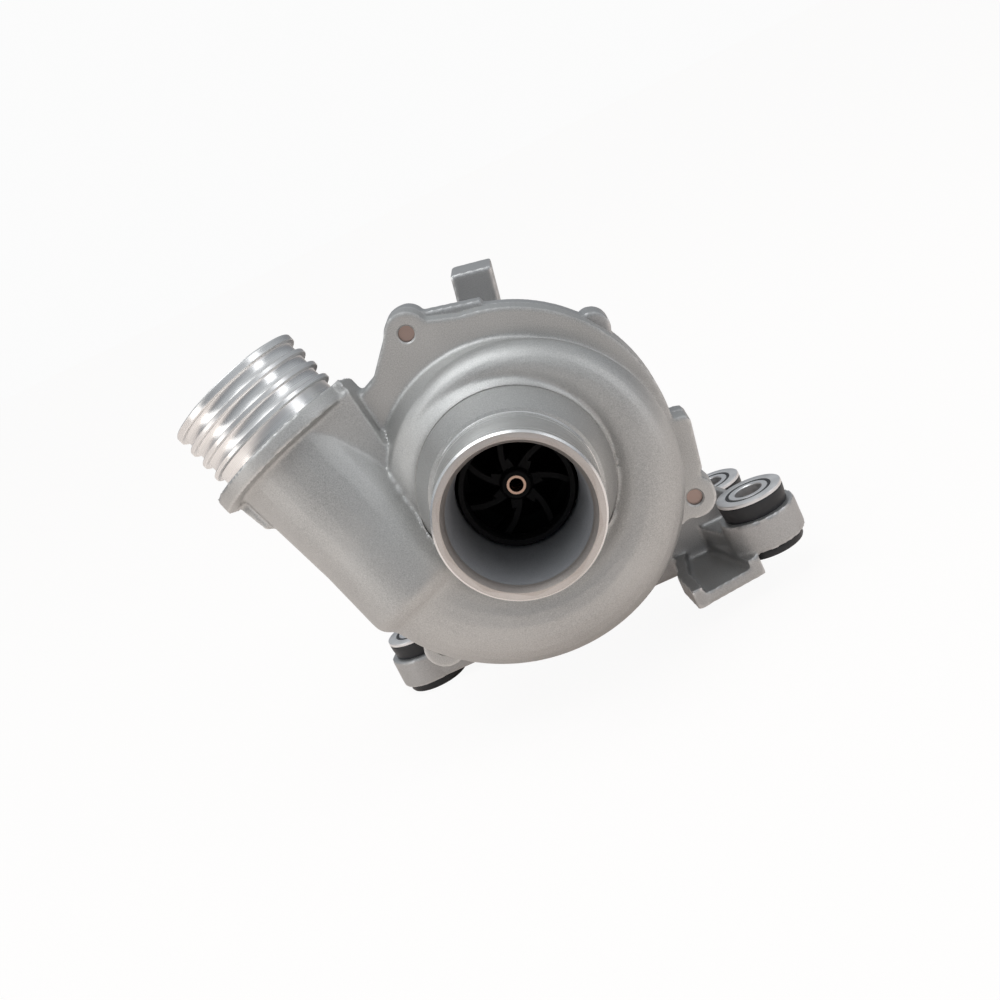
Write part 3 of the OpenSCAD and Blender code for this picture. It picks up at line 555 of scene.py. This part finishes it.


# the third colour of each casting is its painted edge highlight
cast_head = cast_metal("cast_head", (0.34, 0.338, 0.332), (0.60, 0.597, 0.585), (0.72, 0.72, 0.71),
                       2900.0, 0.07, 0.46)
turned_inlet = turned_metal("turned_inlet", (0.70, 0.70, 0.695), (0.90, 0.895, 0.89), (0, 1, 0),
                            4200.0, 0.21)
# the faced rim's beige tint is a painted reflection of warm surroundings
faced_rim_painted_reflection = cast_metal("faced_rim_painted_reflection", (0.40, 0.365, 0.34), (0.56, 0.515, 0.485), (0.8, 0.8, 0.8),
                       2600.0, 0.02, 0.42)
bore_skin = cast_metal("bore_skin", (0.28, 0.29, 0.305), (0.48, 0.49, 0.51), (0.6, 0.6, 0.6),
                       3000.0, 0.03, 0.6)
turned_outlet = turned_metal("turned_outlet", (0.80, 0.79, 0.78), (0.94, 0.93, 0.92), outlet_axis,
                             5200.0, 0.27)
on_cast, on_inlet, on_outlet, on_bore, on_rim = range(5)
head.data.materials.clear()
for material in (cast_head, turned_inlet, turned_outlet, bore_skin, faced_rim_painted_reflection):
    head.data.materials.append(material)
centres = np.empty(len(head.data.polygons) * 3)
head.data.polygons.foreach_get("center", centres)
centres = centres.reshape(-1, 3) / mm
from_foot = centres - np.array(outlet_foot)
along_outlet = from_foot @ np.array(outlet_axis)
off_outlet = np.linalg.norm(from_foot - np.outer(along_outlet, outlet_axis), axis=1)
off_shaft = np.hypot(centres[:, 0], centres[:, 2])
along_shaft = centres[:, 1]
rim_y, bore_y = 0.08, 2.8
finish_of = np.full(len(centres), on_cast, dtype=np.int32)
finish_of[(along_shaft < seat_end) & (off_shaft < seat_r + 0.3)] = on_inlet
finish_of[(along_shaft < rim_y) & (off_shaft < seat_r - 0.75)] = on_rim
finish_of[(along_shaft > rim_y) & (along_shaft < bore_y) & (off_shaft < 22)] = on_rim
finish_of[(along_shaft > bore_y) & (along_shaft < shoulder_end) & (off_shaft < 21)] = on_bore
finish_of[(along_outlet > collar_face + 0.05) & (off_outlet < ridge_r + 0.3)] = on_outlet
head.data.polygons.foreach_set("material_index", finish_of)
pick(head)
bpy.ops.object.shade_smooth_by_angle(angle=math.radians(32))
mark_painted_edge_highlight(head, 1.7)
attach(head, "housing")
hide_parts("volute_housing")


# Motor housing: a second die casting, the barrel round the stator with three arms for the
# rubber bushes, a support tray beside the front bush and a lug on top for a bracket.
front_bush = (62.7, 70.0, -43.0)
right_bush = (54.1, 130.0, -54.3)
left_bush = (-63.7, 117.0, -54.3)
bush_places = {"front": front_bush, "right": right_bush, "left": left_bush}
eye_bore_r = 9.7
ear_r = 41
ear_places = []
for angle in (195, 240, 300, 345):
    ear_turn = math.radians(angle)
    ear_places.append((ear_r * math.cos(ear_turn), ear_r * math.sin(ear_turn)))
barrel = bench_copy("motor_housing", "motor_housing_cast")
fill = [rod("fill_barrel", 34.8, mate_y, 142)]
for hole in flange_holes:
    fill.append(rod("fill_screw", 3.2, mate_y, 70, (hole[0], 0, hole[1])))
for hole in ear_places:
    fill.append(rod("fill_ear", 2.6, 130, 142, (hole[0], 0, hole[1])))
for place in bush_places.values():
    fill.append(rod("fill_eye", 10.2, -17.2, -6.7, place, (0, 0, 1)))
barrel = join_all([barrel] + fill)
cast_skin(barrel, 0.7, 2)
boolean(barrel, turned("cut_bay", [
    (18.25, 58), (18.25, 66.7), (32, 66.71), (32, 118), (2, 118.01), (2, 118.5), (1, 118.6)],
    axis=(0, 1, 0), sides=128), "DIFFERENCE")
boolean(barrel, rod("cut_board_bay", 33, 122, 144, sides=128), "DIFFERENCE")
for place in bush_places.values():
    boolean(barrel, turned("cut_eye", [
        (10.3, -20), (10.3, -17.2), (eye_bore_r, -16.6), (eye_bore_r, -7.3), (10.3, -6.7), (10.3, -2)],
        place, (0, 0, 1)), "DIFFERENCE")
for hole in flange_holes:
    boolean(barrel, rod("cut_screw", 2.8, 58, 80, (hole[0], 0, hole[1]), sides=40), "DIFFERENCE")
    boolean(barrel, rod("cut_head", 5.2, 68, 90, (hole[0], 0, hole[1]), sides=48), "DIFFERENCE")
for hole in ear_places:
    boolean(barrel, rod("cut_ear", 2, 131, 144, (hole[0], 0, hole[1]), sides=32), "DIFFERENCE")
cast_motor = cast_metal("cast_motor", (0.34, 0.34, 0.338), (0.54, 0.538, 0.535), (0.70, 0.70, 0.695),
                        2700.0, 0.05, 0.42)
barrel.data.materials.clear()
barrel.data.materials.append(cast_motor)
pick(barrel)
bpy.ops.object.shade_smooth_by_angle(angle=math.radians(34))
mark_painted_edge_highlight(barrel, 1.7)
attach(barrel, "housing")
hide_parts("motor_housing")


# Rear cover: the third casting, a shallow pan over the electronics with nine cooling fins and
# a pad for the connector, screwed to the barrel through four ears.
cover_vent = (0, 0, -23)
connector_foot = (0, 155.5, 0)
cover = bench_copy("rear_cover", "rear_cover_cast")
connector_turn = math.radians(165)
connector_axis = Vector((math.cos(connector_turn), 0, math.sin(connector_turn)))
fill = [
    turned("fill_cover", [(34, 143), (30.5, 167.5)], axis=(0, 1, 0)),
    rod("fill_vent", 4.4, 164, 172, cover_vent),
    rod("fill_pad", 9, 25, 38.8, connector_foot, connector_axis),
]
cover = join_all([cover] + fill)
cast_skin(cover, 0.65, 2)
boolean(cover, turned("cut_cover", [(33.2, 142), (33, 143), (29, 165)], axis=(0, 1, 0), sides=128),
        "DIFFERENCE")
boolean(cover, rod("cut_vent", 4, 163, 174, cover_vent), "DIFFERENCE")
for hole in ear_places:
    boolean(cover, rod("cut_cover_ear", 2.3, 141, 152, (hole[0], 0, hole[1]), sides=32), "DIFFERENCE")
cast_cover = cast_metal("cast_cover", (0.29, 0.29, 0.292), (0.44, 0.44, 0.44), (0.70, 0.70, 0.70),
                        1900.0, 0.07, 0.5)
cover.data.materials.clear()
cover.data.materials.append(cast_cover)
pick(cover)
bpy.ops.object.shade_smooth_by_angle(angle=math.radians(34))
mark_painted_edge_highlight(cover, 1.7)
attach(cover, "housing")
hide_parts("rear_cover")


# Rubber bushes: a moulded rubber ring in each cast eye, bonded to a plain steel sleeve for the
# bolt, with a pressed aluminium washer let into its top face.
def plain_skin(name, dark, light, scale, low, high, depth, metallic=0.0):
    """Moulded, sintered or pressed skin: cloudy colour, cloudy gloss and a fine bump."""
    material, tree, surface = finish(name)
    place = wire(tree, "ShaderNodeTexCoord")
    fine = wire(tree, "ShaderNodeTexNoise",
                {"Vector": place.outputs["Object"], "Scale": scale, "Detail": 3.0})
    broad = wire(tree, "ShaderNodeTexNoise",
                 {"Vector": place.outputs["Object"], "Scale": scale / 14, "Detail": 3.0})
    colour = shades(tree, spread(tree, broad.outputs["Fac"], 0, 1), dark, light)
    tree.links.new(colour.outputs["Color"], surface.inputs["Base Color"])
    tree.links.new(spread(tree, broad.outputs["Fac"], low, high), surface.inputs["Roughness"])
    bump = wire(tree, "ShaderNodeBump",
                {"Height": fine.outputs["Fac"], "Strength": 0.4, "Distance": depth * mm})
    tree.links.new(bump.outputs["Normal"], surface.inputs["Normal"])
    surface.inputs["Metallic"].default_value = metallic
    return material


rubber_skin = plain_skin("rubber_skin", (0.010, 0.011, 0.013), (0.020, 0.021, 0.024),
                         2600.0, 0.34, 0.5, 0.03)
sleeve_steel = turned_metal("sleeve_steel_turned", (0.76, 0.75, 0.75), (0.92, 0.91, 0.91),
                            (0, 0, 1),
                            6000.0, 0.36)
washer_skin = plain_skin("washer_skin", (0.74, 0.73, 0.73), (0.86, 0.85, 0.85),
                         3200.0, 0.34, 0.48, 0.012, 0.85)
sleeve_r, bolt_r = 6.8, 4.6
washer_in, washer_out = 7.7, 11.0
for side, place in bush_places.items():
    rubber = turned("rubber_" + side, [
        (sleeve_r, 0), (washer_in, 0), (washer_in, -1.2), (10.75, -1.2), (10.95, -1.45), (11.0, -1.8),
        (10.85, -3.6), (10.6, -5.4), (10.55, -6.3), (10.45, -6.69), (eye_bore_r - 0.15, -6.75),
        (eye_bore_r - 0.05, -7.3), (eye_bore_r - 0.05, -16.6), (10.3, -17.2), (10.6, -17.3), (10.95, -17.8),
        (11, -19.6), (10.7, -20.15), (sleeve_r, -20.2), (sleeve_r, 0)], place, (0, 0, 1), ring=True)
    sleeve = turned("sleeve_" + side, [
        (bolt_r, -0.3), (bolt_r + 0.3, 0), (sleeve_r - 0.25, 0), (sleeve_r - 0.01, -0.25),
        (sleeve_r - 0.01, -19.95), (sleeve_r - 0.25, -20.2), (bolt_r + 0.3, -20.2), (bolt_r, -19.9),
        (bolt_r, -0.3)], place, (0, 0, 1), ring=True)
    washer = turned("washer_" + side, [
        (washer_in + 0.02, -0.15), (washer_in + 0.17, 0), (washer_out - 0.3, 0), (washer_out - 0.08, -0.1),
        (washer_out, -0.35), (washer_out, -1.18), (washer_in + 0.02, -1.18), (washer_in + 0.02, -0.15)],
        place, (0, 0, 1), ring=True)
    for piece, skin, node, slot in ((rubber, rubber_skin, "bush_rubber_", "bush_rubber"),
                                    (sleeve, sleeve_steel, "bush_sleeve_", "sleeve_steel"),
                                    (washer, washer_skin, "bush_washer_", "washer_aluminium")):
        piece.data.materials.append(skin)
        pick(piece)
        bpy.ops.object.shade_smooth_by_angle(angle=math.radians(40))
        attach(piece, "housing")
        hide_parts(node + side)


def dress(node, material, edge=0.0):
    """Gives a frame node its finish and, where wanted, a small rounded edge."""
    piece = frame["nodes"][node]
    piece.data.materials.clear()
    piece.data.materials.append(material)
    if edge:
        weld = piece.modifiers.new("weld", "WELD")
        weld.merge_threshold = 2 * weld_gap
        bevel = piece.modifiers.new("edge", "BEVEL")
        bevel.width = edge * mm
        bevel.segments = 2
        bevel.limit_method = "ANGLE"
        bevel.angle_limit = math.radians(35)
        bevel.harden_normals = True


# Flange screws: three copper-coloured screws driven from the motor side; only their thread ends
# show, a little below the flange's face.
copper_thread = turned_metal("copper_thread", (0.34, 0.25, 0.22), (0.52, 0.41, 0.37), (0, 1, 0),
                             2400.0, 0.42)
dress("flange_screws", copper_thread, 0.25)

# Impeller: a moulded black wheel with seven vanes and a welded-on shroud, pressed on a hollow
# copper-coloured shaft whose end shows in its nose.
# wheel and shroud: black plastic made darker still, as painted shade inside the pump's mouth
impeller_black_painted_shade = plain_skin("impeller_black_painted_shade", (0.0025, 0.0025, 0.003), (0.006, 0.006, 0.006),
                           2200.0, 0.5, 0.66, 0.03)
shroud_black_painted_shade = plain_skin("shroud_black_painted_shade", (0.003, 0.003, 0.0035), (0.007, 0.007, 0.007),
                         2200.0, 0.5, 0.66, 0.03)
for skin in (impeller_black_painted_shade, shroud_black_painted_shade):
    skin.node_tree.nodes["Principled BSDF"].inputs["Specular IOR Level"].default_value = 0.14
dress("impeller", impeller_black_painted_shade, 0.2)
dress("impeller_shroud", shroud_black_painted_shade, 0.2)
shaft_copper = turned_metal("shaft_copper_turned", (0.36, 0.24, 0.18), (0.58, 0.41, 0.33),
                            (0, 1, 0),
                            4200.0, 0.3)
dress("rotor_shaft", shaft_copper, 0.2)

# Rotor: magnets round a laminated core inside a thin steel sleeve.
laminations = turned_metal("laminations", (0.24, 0.245, 0.26), (0.40, 0.41, 0.43), (0, 1, 0),
                           2000.0, 0.4, 0.03)
magnet_skin = plain_skin("magnet_skin", (0.07, 0.07, 0.08), (0.12, 0.12, 0.135),
                         1800.0, 0.4, 0.6, 0.02, 0.3)
rotor_sleeve = turned_metal("rotor_sleeve_turned", (0.58, 0.58, 0.59), (0.76, 0.76, 0.77),
                            (0, 1, 0),
                            5200.0, 0.24)
dress("rotor_core", laminations)
dress("rotor_magnets", magnet_skin, 0.15)
dress("rotor_sleeve", rotor_sleeve, 0.15)

# Can, carrier and bearings: the moulded wall that keeps the coolant out of the stator, and the
# carbon bearings and ceramic washer that the wet rotor runs on.
can_skin = plain_skin("can_skin", (0.03, 0.03, 0.034), (0.06, 0.06, 0.066), 1500.0, 0.4, 0.55, 0.04)
seal_skin = plain_skin("seal_skin", (0.012, 0.012, 0.012), (0.022, 0.022, 0.022),
                       2000.0, 0.5, 0.65, 0.02)
carrier_skin = plain_skin("carrier_skin", (0.24, 0.17, 0.10), (0.34, 0.25, 0.16),
                          1500.0, 0.4, 0.55, 0.04)
carbon_skin = plain_skin("carbon_skin", (0.03, 0.03, 0.034), (0.05, 0.05, 0.056),
                         2600.0, 0.3, 0.42, 0.01)
ceramic_skin = plain_skin("ceramic_skin", (0.76, 0.74, 0.70), (0.84, 0.82, 0.79),
                          2600.0, 0.25, 0.35, 0.01)
dress("separating_can", can_skin, 0.2)
dress("can_seal", seal_skin)
dress("bearing_carrier", carrier_skin, 0.2)
dress("front_bearing", carbon_skin, 0.2)
dress("rear_bearing", carbon_skin, 0.2)
dress("thrust_washer", ceramic_skin, 0.15)

# Stator: a stack of punched sheets with nine wound teeth between two moulded insulators.
insulator_skin = plain_skin("insulator_skin", (0.66, 0.62, 0.52), (0.76, 0.72, 0.62),
                            1500.0, 0.4, 0.55, 0.03)
winding = turned_metal("winding_wire", (0.34, 0.12, 0.035), (0.66, 0.30, 0.12), (0, 1, 0),
                       1300.0, 0.3, 0.25)
brass_skin = plain_skin("brass_skin", (0.62, 0.46, 0.22), (0.78, 0.62, 0.34),
                        2600.0, 0.22, 0.34, 0.01, 1.0)
dress("stator_core", laminations)
dress("front_insulator", insulator_skin, 0.2)
dress("rear_insulator", insulator_skin, 0.2)
dress("stator_windings", winding, 1.2)
dress("phase_pins", brass_skin, 0.15)

# Electronics: a round varnished board on three pillars, with its capacitors, switching
# transistors and choke.
board_skin = plain_skin("board_skin", (0.012, 0.10, 0.045), (0.025, 0.15, 0.07),
                        1400.0, 0.2, 0.32, 0.02)
zinc_skin = plain_skin("zinc_skin", (0.48, 0.49, 0.51), (0.64, 0.65, 0.67),
                       2400.0, 0.24, 0.38, 0.015, 1.0)
can_sleeve = plain_skin("can_sleeve_skin", (0.02, 0.035, 0.12), (0.04, 0.06, 0.18),
                        1400.0, 0.24, 0.34, 0.01)
chip_skin = plain_skin("chip_skin", (0.014, 0.014, 0.015), (0.028, 0.028, 0.03),
                       2200.0, 0.45, 0.6, 0.03)
dress("circuit_board", board_skin, 0.15)
dress("board_screws", zinc_skin, 0.2)
dress("capacitors", can_sleeve, 0.5)
dress("power_transistors", chip_skin, 0.25)
dress("choke_coil", winding, 1.0)

# Rear joint: a rubber gasket and four zinc-plated screws.
dress("rear_cover_gasket", seal_skin, 0.15)
dress("rear_cover_screws", zinc_skin, 0.3)
dress("vent_plug", seal_skin, 0.4)

# Connector: a glass-filled moulding with four plated pins on an orange silicone seal.
moulding = plain_skin("connector_moulding", (0.016, 0.016, 0.018), (0.032, 0.032, 0.035),
                      2200.0, 0.4, 0.55, 0.05)
silicone = plain_skin("silicone_skin", (0.62, 0.20, 0.035), (0.78, 0.30, 0.07),
                      1500.0, 0.45, 0.6, 0.02)
dress("connector_housing", moulding, 0.5)
dress("connector_pins", brass_skin, 0.15)
dress("connector_seal", silicone, 0.2)


bpy.ops.object.select_all(action="DESELECT")
